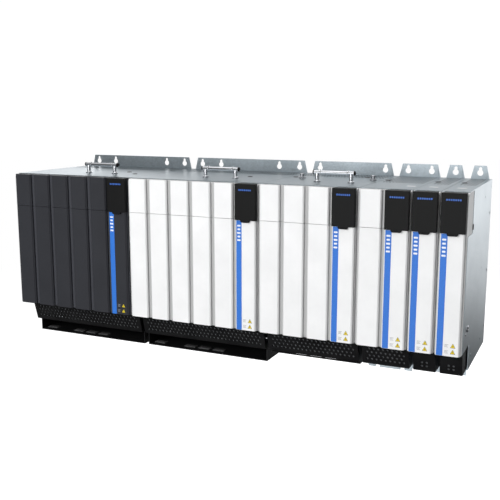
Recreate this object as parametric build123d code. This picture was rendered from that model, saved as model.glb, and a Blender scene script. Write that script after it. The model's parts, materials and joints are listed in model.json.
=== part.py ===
"""A line-up of six cabinet drive modules, side by side on one mounting wall.

Millimetres. +X runs along the row to the right, -Y is the front, +Z is up.
The origin is on the mounting plane, at the middle of the row, level with the bottom of the module bodies.
"""

import os
from math import cos, radians, sin, tan

from build123d import *

# The row, from left to right: the first module is the power supply, the rest are drives.
MODULE_COLUMNS = (6, 6, 4, 2, 1, 1)
COLUMN = 50  # the width of one column; a module is a whole number of them wide
BODY_HEIGHT = 348
BODY_DEPTH = 296  # from the mounting plane to the faces of the front panels
BODY_GAP = 1.0  # between the steel bodies of neighbours
COVER_GAP = 2.5  # between the plastic fronts of neighbours
PAST = 1  # how far cuts and joins run past the faces that they meet

# Steel body
SHEET = 1.5
EAR_TOP = 27
EAR_BOTTOM = 25
EAR_INSET = 6  # of the ear's foot from the side of the module
EAR_SLANT = 6.5  # how far each end of the ear leans in
EAR_BACKING_MAX_COLUMNS = 4  # the narrower bodies have a second layer in front of the ear
EAR_BACKING_INSET = 5
EAR_BACKING_HEIGHT = 16
KEYHOLE_HEAD_R = 6.2
SCREW_HOLE_R = 3.25
KEYHOLE_HEAD_UP = 12.3  # above the body's top
KEYHOLE_RISE = 8.5  # from the head's centre to the seat of the screw
LOWER_HOLE_DROP = 15.2  # below the body's bottom
TOP_PLATE_SETBACK = 18.5  # of the top plate's front edge from the panel faces
VENT_WIDTH = 3.2
VENT_LENGTH = 14
VENT_PITCH = 6.4
VENT_ROW_PITCH = 19
VENT_FROM_WALL = 18
VENT_ROWS = 8
VENT_ROWS_BEHIND_HANDLE = 4
BOARD_TAB = 7.5
SIDE_HOLE_R = 1.8
SIDE_HOLES = ((88, 28), (7, 15.5), (88, 169))  # from the wall, and below the body's top
CLAMP_HOLE_R = 5
CLAMP_HOLE_BACK = 58  # from the panel faces
CLAMP_HOLE_UP = 91
LATCH_DEPTH = 5  # of the notch that the front clips into
LATCH_HEIGHT = 11
LATCH_DROP = 63  # below the body's top

# Plastic front
WALL = 2.5
HINGE_WALL = 2.6
GROOVE_DEPTH = 6  # from the panel faces back to the floor of the grooves
PANEL_LEFT = 7.5  # of a raised panel's face, from the left of its column
PANEL_RIGHT = 6  # of a raised panel's face, from the right of its column
LABEL_PANEL_LEFT = 5.5  # of the panel under the keypad door
CHAMFER_WIDTH = 2.6  # along both sides of a panel
CHAMFER_DEPTH = 2.6
CHAMFER_DRAFT = 0.4  # of the steep step between a chamfer and the groove
FRONT_BOTTOM = 52
DOOR_HEIGHT = 71  # from the seam to the body's top
SEAM_GAP = 0.8
SKIRT_DEPTH = 10  # behind the groove floor, below the bus compartment
COMPARTMENT_DEPTH = 60.5  # behind the groove floor
COMPARTMENT_HEIGHT = 80  # from the compartment's floor to the body's top

# Doors in the front
HINGE_BACK = 12  # of the hinge axis from the panel faces
HINGE_DROP = 6  # of the hinge axis from the top of the body
PIN_R = 2.0
PIN_REACH = 1.1  # into its hole
PIN_CLEARANCE = 0.08
LOBE_R = 4.4
LOBE_THICKNESS = 3
DOOR_SIDE_GAP = 0.4
DOOR_TOP_GAP = 1.0
DOOR_SKIN = 2.4
KEYPAD_PROUD = 4  # in front of the panel faces
KEYPAD_LEFT = 3.2  # of the keypad door's face, from the left of its column
KEYPAD_RIGHT = 2.3  # of the keypad door's face, from the right of its column
KEYPAD_DROP = 1.5  # of its lower edge below the seam
KEYPAD_CORNER = 1.2
TAB_WIDTH = 20
TAB_DROP = 4.5
TAB_THICKNESS = 3.4
THUMB_R = 8  # of the ball that hollows the tab
THUMB_DEPTH = 1

# Bottom guard
GUARD_SHEET = 2
GUARD_INSET = 4  # of each end of the guard from the side of its module
GUARD_TOP_BACK = 40  # of its front face from the panel faces, at its top
GUARD_BOTTOM_BACK = 54
GUARD_END_BACK = 91
GUARD_HOLE_R = 2.3
GUARD_HOLE_PITCH = 9
GUARD_HOLE_FIRST_UP = 10.5
GUARD_ROW_PITCH = 7.5
GUARD_HOLE_MARGIN = 9
NARROW_HOLE_ROWS = 2  # on a guard of one column
NARROW_HOLE_MARGIN = 15
GUARD_LEDGE_COLUMNS = 4  # this guard has a ledge with windows below it
LEDGE_DROP = 8
LEDGE_FRONT_BACK = 66
LEDGE_WINDOW_LENGTH = 26
LEDGE_WINDOW_WIDTH = 14
LEDGE_WINDOW_PITCH = 32
LEDGE_WINDOWS = 3
LIP_HOLE_GAP = 1  # from the lip below the narrow bodies down to the path of their lower screws
FRONT_LIP_INSET = 3
FRONT_LIP_MAX_COLUMNS = 2

# Cable trays under the widest modules
TRAY_MIN_COLUMNS = 6
TRAY_SHEET = 2
TRAY_DROP = 30
TRAY_FRONT_BACK = 66
TRAY_DEPTH = 110
TRAY_INSET = 5
TRAY_SLOT_STARTS = (14, 90, 125, 160)
TRAY_SLOT_LENGTH = 24
TRAY_SLOT_WIDTH = 14
TRAY_FLANGE = 12

# Lifting handles on the three widest modules
HANDLE_MIN_COLUMNS = 4
HANDLE_OFF_CENTRE = 25
HANDLE_BACK = 92
HANDLE_POST_SPACING = 70
HANDLE_POST_R = 4
HANDLE_GRIP_R = 4.2
HANDLE_RISE = 19
HANDLE_OVERHANG = 6
HANDLE_FOOT_R = 7
HANDLE_FOOT_HEIGHT = 2

# Cooling: one fan under the heat sink of each module, as large as its body takes
LARGEST_FAN = 120
FAN_SIDE_GAP = 3
FAN_THICKNESS = 25
FAN_WALL = 2
FAN_BACK_GAP = 4  # from the back plate
FAN_HUB_SHARE = 0.2
AXLE_R = 1.5
AXLE_CLEARANCE = 0.05
AXLE_SHORT = 4  # of the top of the fan frame
AXLE_END_GAP = 0.5
ROTOR_GAP_BELOW = 1
ROTOR_GAP_ABOVE = 1.5
BLADE_ROOT = 2  # of each blade inside the hub
BLADES = 7
BLADE_TILT = 32
BLADE_THICKNESS = 1.4
BLADE_TIP_GAP = 1.2
STRUT_WIDTH = 3
STRUT_HEIGHT = 4
SINK_BASE = 8
SINK_BOTTOM = 46
SINK_DROP = 30  # of the heat sink's top below the body's top
SINK_SIDE_GAP = 3
FIN_THICKNESS = 1.6
FIN_PITCH = 8.2

# Electronics
MODULE_BLOCK_DEPTH = 14
MODULE_BLOCK_HEIGHT = 92
BLOCK_TAB_GAP = 0.5  # between the power blocks and the tabs that hold the boards
MODULE_BLOCK_BOTTOM = 120
BOARD_THICKNESS = 1.6
BOARD_BLOCK_GAP = 0.9  # between the board and the power blocks
BOARD_SIDE_GAP = 0.8
BOARD_BOTTOM = 70
BOARD_TOP_GAP = 6  # below the compartment's floor
PLUG_WIDTH = 28
PLUG_HEIGHT = 14
PLUG_DEPTH = 11
PLUG_UP = 3  # from the board's lower edge
SOCKET_WIDTH = 18
SOCKET_HEIGHT = 18
SOCKET_DEPTH = 3
SOCKET_DROP = 22  # from the board's upper edge
CAPACITOR_R = 15
CAPACITOR_LENGTH = 55
CAPACITOR_PITCH = 38
CAPACITOR_FIRST_UP = 41
BUS_BAR_HEIGHT = 16
BUS_BAR_THICKNESS = 5
BUS_BAR_BACK = 36  # of the bars' front faces from the panel faces
BUS_BAR_DROPS = (54, 28)  # of the bars' middles below the body's top
BUS_BAR_END_GAP = 10
BUS_WINDOW_CLEARANCE = 2
STANDOFF_R = 5
SCREW_HEAD_R = 4.5
SCREW_HEAD_HEIGHT = 2.6
STUD_COLUMNS = 4  # the module that has lifting studs on its top
STUD_R = 4
STUD_HEIGHT = 9
STUD_FROM_SIDE = (34, 17)  # from the left and from the right
STUD_BACK = (157, 169)

# Places worked out from the sizes above
ROW_LENGTH = sum(MODULE_COLUMNS) * COLUMN
FACE_Y = -BODY_DEPTH
FLOOR_Y = FACE_Y + GROOVE_DEPTH
SKIRT_Y = FLOOR_Y + SKIRT_DEPTH
BACK_WALL_Y = FLOOR_Y + COMPARTMENT_DEPTH
HINGE_Y = FACE_Y + HINGE_BACK
HINGE_Z = BODY_HEIGHT - HINGE_DROP
GUARD_END_Y = FACE_Y + GUARD_END_BACK
TOP_EDGE_Y = FACE_Y + TOP_PLATE_SETBACK
COMPARTMENT_TOP = BODY_HEIGHT - SHEET
COMPARTMENT_FLOOR = BODY_HEIGHT - COMPARTMENT_HEIGHT
SEAM_HEIGHT = BODY_HEIGHT - DOOR_HEIGHT
BUS_BAR_HEIGHTS = [BODY_HEIGHT - drop for drop in BUS_BAR_DROPS]
SINK_TOP = BODY_HEIGHT - SINK_DROP
FRONT_LIP = LOWER_HOLE_DROP - SCREW_HOLE_R - LIP_HOLE_GAP
BOARD_TOP = COMPARTMENT_FLOOR - BOARD_TOP_GAP
MODULE_BLOCK_SIDE = BODY_GAP / 2 + BOARD_TAB + BLOCK_TAB_GAP
DEEPEST_BLOCK = SHEET + FAN_BACK_GAP + LARGEST_FAN + SINK_BASE + MODULE_BLOCK_DEPTH  # from the wall
BOARD_Y = -DEEPEST_BLOCK - BOARD_BLOCK_GAP - BOARD_THICKNESS
CAPACITOR_ROOM = BOARD_TOP - SOCKET_DROP - SOCKET_HEIGHT - BOARD_BOTTOM - CAPACITOR_FIRST_UP - CAPACITOR_R
CAPACITOR_ROWS = int(CAPACITOR_ROOM / CAPACITOR_PITCH) + 1


def block(x0, x1, y0, y1, z0, z1):
    """A box between two corners."""
    return Pos((x0 + x1) / 2, (y0 + y1) / 2, (z0 + z1) / 2) * Box(x1 - x0, y1 - y0, z1 - z0)


def prism_x(points, x0, x1):
    """An outline of (y, z) points, carried from x0 to x1."""
    return extrude(Plane.YZ.offset(x0) * make_face(Polyline(*points, close=True)), x1 - x0)


def prism_y(points, y0, y1):
    """An outline of (x, z) points, carried from y0 to y1."""
    return extrude(Plane.XZ.offset(-y1) * make_face(Polyline(*points, close=True)), y1 - y0)


def prism_z(points, z0, z1):
    """An outline of (x, y) points, carried from z0 to z1."""
    return extrude(Plane.XY.offset(z0) * make_face(Polyline(*points, close=True)), z1 - z0)


def rod_x(x0, x1, y, z, radius):
    """A round bar along X."""
    return Pos((x0 + x1) / 2, y, z) * Rot(0, 90, 0) * Cylinder(radius, x1 - x0)


def rod_y(x, y0, y1, z, radius):
    """A round bar along Y."""
    return Pos(x, (y0 + y1) / 2, z) * Rot(90, 0, 0) * Cylinder(radius, y1 - y0)


def rod_z(x, y, z0, z1, radius):
    """A round bar along Z."""
    return Pos(x, y, (z0 + z1) / 2) * Cylinder(radius, z1 - z0)


def slot_y(x, y0, y1, z0, z1, radius):
    """A round-ended upright slot, cut along Y, between the centres of its ends."""
    slot = block(x - radius, x + radius, y0, y1, z0, z1)
    return slot + rod_y(x, y0, y1, z0, radius) + rod_y(x, y0, y1, z1, radius)


def write(name, shape):
    """Write one named piece to parts/."""
    shape.label = name
    export_step(shape, os.path.join("parts", name + ".step"))


class Module:
    """The places that one module's pieces share."""

    def __init__(self, number, left, columns):
        self.number = number
        self.columns = columns
        self.width = columns * COLUMN
        self.left = left
        self.right = left + self.width
        self.body_left = left + BODY_GAP / 2
        self.body_right = self.right - BODY_GAP / 2
        self.front_left = left + COVER_GAP / 2
        self.front_right = self.right - COVER_GAP / 2
        self.key_column = self.right - COLUMN
        self.bay_left = self.key_column + COVER_GAP / 2 + HINGE_WALL
        self.bay_right = self.front_right - HINGE_WALL
        self.fan = min(LARGEST_FAN, self.width - BODY_GAP - 2 * SHEET - 2 * FAN_SIDE_GAP)
        self.fan_x = (self.body_left + self.body_right) / 2
        self.fan_y = -SHEET - FAN_BACK_GAP - self.fan / 2
        self.sink_front = -SHEET - self.fan - FAN_BACK_GAP
        self.has_bus_door = self.columns > 1

    def bolt_xs(self):
        """The mounting screws are on the middles of the end columns, and one column in on the widest."""
        first = self.left + COLUMN / 2
        last = self.right - COLUMN / 2
        places = {first, last}
        if self.columns >= TRAY_MIN_COLUMNS:
            places |= {first + COLUMN, last - COLUMN}
        return sorted(places)

    def tray_span(self):
        """The left and right ends of the cable tray."""
        return self.left + TRAY_INSET, self.right - TRAY_INSET


def make_modules():
    """Place the modules from left to right about X = 0."""
    modules = []
    left = -ROW_LENGTH / 2
    for number, columns in enumerate(MODULE_COLUMNS, start=1):
        modules.append(Module(number, left, columns))
        left = modules[-1].right
    return modules


def ear(m, foot_z, tip_z):
    """A mounting ear that leans in at both ends."""
    foot_left = m.left + EAR_INSET
    foot_right = m.right - EAR_INSET
    outline = [
        (foot_left, foot_z),
        (foot_right, foot_z),
        (foot_right - EAR_SLANT, tip_z),
        (foot_left + EAR_SLANT, tip_z),
    ]
    return prism_y(outline, -SHEET, 0)


def make_chassis(m):
    """Folded steel body: back plate with ears, two sides, a vented top and a bottom over the fan."""
    body = block(m.body_left, m.body_right, -SHEET, 0, 0, BODY_HEIGHT)
    body += ear(m, BODY_HEIGHT, BODY_HEIGHT + EAR_TOP)
    body += ear(m, 0, -EAR_BOTTOM)
    if m.columns <= EAR_BACKING_MAX_COLUMNS:
        backing_left = m.left + EAR_INSET + EAR_BACKING_INSET
        backing_right = m.right - EAR_INSET - EAR_BACKING_INSET
        body += block(backing_left, backing_right, -2 * SHEET, 0, BODY_HEIGHT,
                      BODY_HEIGHT + EAR_BACKING_HEIGHT)
    side = [
        (0, 0),
        (GUARD_END_Y, 0),
        (GUARD_END_Y, FRONT_BOTTOM),
        (SKIRT_Y, FRONT_BOTTOM),
        (SKIRT_Y, COMPARTMENT_FLOOR),
        (BACK_WALL_Y, COMPARTMENT_FLOOR),
        (BACK_WALL_Y, BODY_HEIGHT),
        (0, BODY_HEIGHT),
    ]
    body += prism_x(side, m.body_left, m.body_left + SHEET)
    body += prism_x(side, m.body_right - SHEET, m.body_right)
    body += block(m.body_left, m.body_right, TOP_EDGE_Y, 0, COMPARTMENT_TOP, BODY_HEIGHT)
    body += block(m.body_left, m.body_right, GUARD_END_Y, 0, 0, SHEET)
    if m.columns <= FRONT_LIP_MAX_COLUMNS:
        body += block(m.left + FRONT_LIP_INSET, m.right - FRONT_LIP_INSET, GUARD_END_Y, GUARD_END_Y + SHEET,
                      -FRONT_LIP, SHEET)
    for z in (BOARD_BOTTOM, BOARD_TOP - BOARD_TAB):
        tab_y = BOARD_Y + BOARD_THICKNESS
        left_tab = block(m.body_left, m.body_left + BOARD_TAB, tab_y, tab_y + SHEET, z, z + BOARD_TAB)
        right_tab = block(m.body_right - BOARD_TAB, m.body_right, tab_y, tab_y + SHEET, z, z + BOARD_TAB)
        body += left_tab + right_tab

    cuts = [rod_z(m.fan_x, m.fan_y, -SHEET, 2 * SHEET, m.fan / 2 - FAN_WALL)]
    head_z = BODY_HEIGHT + KEYHOLE_HEAD_UP
    seat_z = head_z + KEYHOLE_RISE
    for x in m.bolt_xs():
        cuts.append(rod_y(x, -3 * SHEET, SHEET, head_z, KEYHOLE_HEAD_R))
        cuts.append(slot_y(x, -3 * SHEET, SHEET, head_z, seat_z, SCREW_HOLE_R))
        cuts.append(rod_y(x, -2 * SHEET, SHEET, -LOWER_HOLE_DROP, SCREW_HOLE_R))
    return body - (cuts + vents(m) + side_holes(m))


def side_holes(m):
    """Holes through both side plates, and the notches at their front edges that the front clips into."""
    cuts = []
    for x in (m.body_left, m.body_right - SHEET):
        x0 = x - PAST
        x1 = x + SHEET + PAST
        for back, drop in SIDE_HOLES:
            cuts.append(rod_x(x0, x1, -back, BODY_HEIGHT - drop, SIDE_HOLE_R))
        cuts.append(rod_x(x0, x1, FACE_Y + CLAMP_HOLE_BACK, CLAMP_HOLE_UP, CLAMP_HOLE_R))
        latch_z = BODY_HEIGHT - LATCH_DROP
        cuts.append(block(x0, x1, BACK_WALL_Y - PAST, BACK_WALL_Y + LATCH_DEPTH,
                          latch_z - LATCH_HEIGHT, latch_z))
    return cuts


def vents(m):
    """Rows of short slots in the top plate, over the heat sink."""
    slots = []
    count = int(m.width / VENT_PITCH) - 2
    start = (m.left + m.right - (count - 1) * VENT_PITCH - VENT_WIDTH) / 2
    rows = VENT_ROWS_BEHIND_HANDLE if m.columns >= HANDLE_MIN_COLUMNS else VENT_ROWS
    for row in range(rows):
        y = -VENT_FROM_WALL - row * VENT_ROW_PITCH
        for i in range(count):
            x = start + i * VENT_PITCH
            slots.append(block(x, x + VENT_WIDTH, y - VENT_LENGTH / 2, y + VENT_LENGTH / 2,
                               COMPARTMENT_TOP - SHEET, BODY_HEIGHT + SHEET))
    return slots


def panel_outline(start, end):
    """The outside of one raised panel, groove floor to groove floor, as (x, y) points."""
    foot = CHAMFER_WIDTH + CHAMFER_DRAFT
    step_y = FACE_Y + CHAMFER_DEPTH
    return [
        (start - foot, FLOOR_Y),
        (start - CHAMFER_WIDTH, step_y),
        (start, FACE_Y),
        (end, FACE_Y),
        (end + CHAMFER_WIDTH, step_y),
        (end + foot, FLOOR_Y),
    ]


def panel_hollow(start, end, thickness):
    """The inside of one raised panel, a wall's thickness within its outside."""
    reach = CHAMFER_WIDTH + CHAMFER_DRAFT - thickness
    corner = thickness * tan(radians(22.5))
    step_y = FACE_Y + CHAMFER_DEPTH + thickness - corner
    return [
        (start - reach, FLOOR_Y + thickness),
        (start - reach, step_y),
        (start + corner, FACE_Y + thickness),
        (end - corner, FACE_Y + thickness),
        (end + reach, step_y),
        (end + reach, FLOOR_Y + thickness),
    ]


def ribbed_skin(spans, x0, x1, z0, z1, thickness):
    """A front of chamfered panels over grooves, one wall thick and closed at its ends."""
    outer = [(x0, FLOOR_Y)]
    inner = [(x0, FLOOR_Y + thickness)]
    for start, end in spans:
        outer += panel_outline(start, end)
        inner += panel_hollow(start, end, thickness)
    outer.append((x1, FLOOR_Y))
    inner.append((x1, FLOOR_Y + thickness))
    skin = prism_z(outer + inner[::-1], z0, z1)
    for start, end in spans:
        skin += prism_z(panel_outline(start, end), z0, z0 + thickness)
        skin += prism_z(panel_outline(start, end), z1 - thickness, z1)
    return skin


def panel_spans(m):
    """The raised panels left of the keypad column."""
    lefts = [m.left + i * COLUMN for i in range(m.columns - 1)]
    return [(left + PANEL_LEFT, left + COLUMN - PANEL_RIGHT) for left in lefts]


def hinge_wall(x0, x1):
    """An upright wall of the bus compartment, rounded at its front top corner round the hinge."""
    wall = block(x0, x1, FLOOR_Y, BACK_WALL_Y, COMPARTMENT_FLOOR, COMPARTMENT_TOP)
    corner = block(x0 - PAST, x1 + PAST, FLOOR_Y - PAST, HINGE_Y, HINGE_Z, COMPARTMENT_TOP + PAST)
    return wall - corner + rod_x(x0, x1, HINGE_Y, HINGE_Z, COMPARTMENT_TOP - HINGE_Z)


def make_front_housing(m):
    """Moulded front: ribbed lower panel, side skirts, and the open bus compartment above."""
    lower_top = SEAM_HEIGHT - SEAM_GAP
    label_panel = (m.key_column + LABEL_PANEL_LEFT, m.right - PANEL_RIGHT)
    spans = panel_spans(m) + [label_panel]
    part = ribbed_skin(spans, m.front_left, m.front_right, FRONT_BOTTOM, lower_top, WALL)
    part -= block(m.key_column, m.right, FACE_Y - PAST, FLOOR_Y + WALL + PAST,
                  lower_top - KEYPAD_DROP, lower_top + PAST)
    for x in (m.front_left, m.front_right - HINGE_WALL):
        part += block(x, x + HINGE_WALL, FLOOR_Y, SKIRT_Y, FRONT_BOTTOM, COMPARTMENT_FLOOR)
        part += hinge_wall(x, x + HINGE_WALL)
    if m.has_bus_door:
        part += hinge_wall(m.bay_left - HINGE_WALL, m.bay_left)
    part += block(m.front_left, m.front_right, BACK_WALL_Y - WALL, BACK_WALL_Y, COMPARTMENT_FLOOR,
                  COMPARTMENT_TOP)
    part += block(m.front_left, m.front_right, FLOOR_Y + WALL, BACK_WALL_Y, COMPARTMENT_FLOOR,
                  COMPARTMENT_FLOOR + WALL)
    part += block(m.front_left, m.front_right, FLOOR_Y + WALL, SKIRT_Y, FRONT_BOTTOM, FRONT_BOTTOM + WALL)

    hole_r = PIN_R + PIN_CLEARANCE
    inner_walls = []
    outer_walls = [(m.front_left, m.front_left + HINGE_WALL), (m.front_right - HINGE_WALL, m.front_right)]
    if m.has_bus_door:
        inner_walls.append((m.bay_left - HINGE_WALL, m.bay_left))
    cuts = [rod_x(x0 - PAST, x1 + PAST, HINGE_Y, HINGE_Z, hole_r) for x0, x1 in inner_walls + outer_walls]
    window_y0 = FACE_Y + BUS_BAR_BACK - BUS_WINDOW_CLEARANCE
    window_y1 = window_y0 + BUS_BAR_THICKNESS + 2 * BUS_WINDOW_CLEARANCE
    half = BUS_BAR_HEIGHT / 2 + BUS_WINDOW_CLEARANCE
    is_first = m.number == 1
    is_last = m.number == len(MODULE_COLUMNS)
    open_walls = inner_walls + outer_walls[is_first : 2 - is_last]
    for x0, x1 in open_walls:
        for z in BUS_BAR_HEIGHTS:
            cuts.append(block(x0 - PAST, x1 + PAST, window_y0, window_y1, z - half, z + half))
    return part - cuts


def door_hinge(x0, x1):
    """The two lobes and trunnions that a door snaps into its walls with."""
    parts = rod_x(x0, x0 + LOBE_THICKNESS, HINGE_Y, HINGE_Z, LOBE_R)
    parts += rod_x(x1 - LOBE_THICKNESS, x1, HINGE_Y, HINGE_Z, LOBE_R)
    parts += rod_x(x0 - DOOR_SIDE_GAP - PIN_REACH, x0 + PAST, HINGE_Y, HINGE_Z, PIN_R)
    parts += rod_x(x1 - PAST, x1 + DOOR_SIDE_GAP + PIN_REACH, HINGE_Y, HINGE_Z, PIN_R)
    return parts


def make_bus_cover(m):
    """Ribbed door over the bus compartment, hinged at its top edge."""
    x0 = m.front_left + HINGE_WALL + DOOR_SIDE_GAP
    x1 = m.bay_left - HINGE_WALL - DOOR_SIDE_GAP
    top = BODY_HEIGHT - DOOR_TOP_GAP
    door = ribbed_skin(panel_spans(m), x0, x1, SEAM_HEIGHT, top, DOOR_SKIN)
    door += block(x0, x1, FLOOR_Y, HINGE_Y, top - DOOR_SKIN, top)
    return door + door_hinge(x0, x1)


def make_keypad_cover(m):
    """Plain box-like door over the keypad bay, with a finger tab at its lower edge."""
    x0 = m.bay_left + DOOR_SIDE_GAP
    x1 = m.bay_right - DOOR_SIDE_GAP
    face_left = m.key_column + KEYPAD_LEFT
    face_right = m.right - KEYPAD_RIGHT
    proud_y = FACE_Y - KEYPAD_PROUD
    top = BODY_HEIGHT - DOOR_TOP_GAP
    bottom = SEAM_HEIGHT - KEYPAD_DROP
    overhang_back = FLOOR_Y - DOOR_SIDE_GAP
    shell = block(face_left, face_right, proud_y, overhang_back, bottom, top)
    shell = fillet(shell.edges().filter_by(Axis.Z).group_by(Axis.Y)[0], KEYPAD_CORNER)
    shell -= block(face_left + DOOR_SKIN, face_right - DOOR_SKIN, proud_y + DOOR_SKIN, 0,
                   bottom + DOOR_SKIN, top - DOOR_SKIN)
    door = shell + block(x0, x1, overhang_back - PAST, HINGE_Y, top - DOOR_SKIN, top)
    for x in (x0, x1 - LOBE_THICKNESS):
        door += block(x, x + LOBE_THICKNESS, proud_y + DOOR_SKIN / 2, HINGE_Y, HINGE_Z - LOBE_R, top)
    middle = (face_left + face_right) / 2
    tab = block(middle - TAB_WIDTH / 2, middle + TAB_WIDTH / 2, proud_y, proud_y + TAB_THICKNESS,
                bottom - TAB_DROP, bottom + DOOR_SKIN)
    tab = fillet(tab.edges().filter_by(Axis.Y).group_by(Axis.Z)[0], TAB_DROP - 1)
    tab -= Pos(middle, proud_y + THUMB_DEPTH - THUMB_R, bottom) * Sphere(THUMB_R)
    return door + tab + door_hinge(x0, x1)


def make_bottom_guard(m):
    """Perforated black guard that closes the space under the front."""
    left = m.left + GUARD_INSET
    right = m.right - GUARD_INSET
    top = FRONT_BOTTOM
    front_top = FACE_Y + GUARD_TOP_BACK
    front_bottom = FACE_Y + GUARD_BOTTOM_BACK
    outline = [(front_top, top), (front_bottom, 0), (GUARD_END_Y, 0), (GUARD_END_Y, top)]
    guard = prism_x(outline, left, right)
    inner = [
        (front_top + GUARD_SHEET, top + PAST),
        (front_bottom + GUARD_SHEET, GUARD_SHEET),
        (GUARD_END_Y + PAST, GUARD_SHEET),
        (GUARD_END_Y + PAST, top + PAST),
    ]
    guard -= prism_x(inner, left + GUARD_SHEET, right - GUARD_SHEET)
    if m.columns == GUARD_LEDGE_COLUMNS:
        guard += guard_ledge(m, left, right)
    rows = int((top - GUARD_HOLE_FIRST_UP - GUARD_HOLE_MARGIN) / GUARD_ROW_PITCH) + 1
    margin = GUARD_HOLE_MARGIN
    stagger = 1
    if m.columns == 1:
        rows = NARROW_HOLE_ROWS
        margin = NARROW_HOLE_MARGIN
        stagger = 0
    lean = (GUARD_BOTTOM_BACK - GUARD_TOP_BACK) / top
    count = int((m.width - 2 * margin) / GUARD_HOLE_PITCH)
    middle = (m.left + m.right) / 2
    cuts = []
    for row in range(rows):
        z = GUARD_HOLE_FIRST_UP + row * GUARD_ROW_PITCH
        y = front_top + lean * (top - z)
        holes = count - stagger * (row % 2)
        start = middle - (holes - 1) * GUARD_HOLE_PITCH / 2
        for i in range(holes):
            cuts.append(rod_y(start + i * GUARD_HOLE_PITCH, y - 2 * GUARD_SHEET, y + 3 * GUARD_SHEET, z,
                              GUARD_HOLE_R))
    return guard - cuts


def guard_ledge(m, left, right):
    """A shallow ledge below a guard, with a row of windows for cable clamps."""
    front = FACE_Y + LEDGE_FRONT_BACK
    floor_top = GUARD_SHEET - LEDGE_DROP
    ledge = block(left, right, front, GUARD_END_Y, -LEDGE_DROP, floor_top)
    for x in (left, right - GUARD_SHEET):
        ledge += block(x, x + GUARD_SHEET, front, GUARD_END_Y, -LEDGE_DROP, GUARD_SHEET)
    ledge += block(left, right, GUARD_END_Y - GUARD_SHEET, GUARD_END_Y, -LEDGE_DROP, GUARD_SHEET)
    middle = (m.left + m.right) / 2
    start = middle - (LEDGE_WINDOWS - 1) * LEDGE_WINDOW_PITCH / 2
    window_y = (front + GUARD_END_Y - GUARD_SHEET) / 2
    half_length = LEDGE_WINDOW_LENGTH / 2
    half_width = LEDGE_WINDOW_WIDTH / 2
    for i in range(LEDGE_WINDOWS):
        x = start + i * LEDGE_WINDOW_PITCH
        ledge -= block(x - half_length, x + half_length, window_y - half_width, window_y + half_width,
                       -LEDGE_DROP - PAST, floor_top + PAST)
    return ledge


def make_cable_tray(m):
    """Open-fronted tray under the body, with slots in its floor for cable clamps."""
    left, right = m.tray_span()
    front = FACE_Y + TRAY_FRONT_BACK
    back = front + TRAY_DEPTH
    tray = block(left, right, front, back, -TRAY_DROP, -TRAY_DROP + TRAY_SHEET)
    tray += block(left, right, back - TRAY_SHEET, back, -TRAY_DROP, 0)
    tray += block(left, left + TRAY_SHEET, front, back, -TRAY_DROP, 0)
    tray += block(right - TRAY_SHEET, right, front, back, -TRAY_DROP, 0)
    tray += block(left, left + TRAY_FLANGE, front, back, -TRAY_SHEET, 0)
    tray += block(right - TRAY_FLANGE, right, front, back, -TRAY_SHEET, 0)
    cuts = []
    for start in TRAY_SLOT_STARTS:
        x = m.left + start
        y = front + TRAY_SLOT_WIDTH
        cuts.append(block(x, x + TRAY_SLOT_LENGTH, y, y + TRAY_SLOT_WIDTH,
                          -TRAY_DROP - PAST, -TRAY_DROP + TRAY_SHEET + PAST))
    return tray - cuts


def make_handle(m):
    """A lifting handle: a round grip across two posts with flanged feet."""
    middle = (m.left + m.right) / 2 + HANDLE_OFF_CENTRE
    y = FACE_Y + HANDLE_BACK
    reach = HANDLE_POST_SPACING / 2 + HANDLE_OVERHANG
    grip_z = BODY_HEIGHT + HANDLE_RISE
    handle = rod_x(middle - reach, middle + reach, y, grip_z, HANDLE_GRIP_R)
    for x in (middle - HANDLE_POST_SPACING / 2, middle + HANDLE_POST_SPACING / 2):
        handle += rod_z(x, y, BODY_HEIGHT, grip_z, HANDLE_POST_R)
        handle += rod_z(x, y, BODY_HEIGHT, BODY_HEIGHT + HANDLE_FOOT_HEIGHT, HANDLE_FOOT_R)
    return handle


def make_fan_frame(m):
    """Square frame with a round duct, four struts and the axle."""
    half = m.fan / 2
    hub_r = m.fan * FAN_HUB_SHARE
    top = SHEET + FAN_THICKNESS
    frame = block(m.fan_x - half, m.fan_x + half, m.fan_y - half, m.fan_y + half, SHEET, top)
    frame -= rod_z(m.fan_x, m.fan_y, 0, top + PAST, half - FAN_WALL)
    for turn in (45, 135):
        strut = Box(2 * half - FAN_WALL, STRUT_WIDTH, STRUT_HEIGHT)
        frame += Pos(m.fan_x, m.fan_y, SHEET + STRUT_HEIGHT / 2) * Rot(0, 0, turn) * strut
    frame += rod_z(m.fan_x, m.fan_y, SHEET, SHEET + STRUT_HEIGHT, hub_r)
    return frame + rod_z(m.fan_x, m.fan_y, SHEET, top - AXLE_SHORT, AXLE_R)


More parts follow.
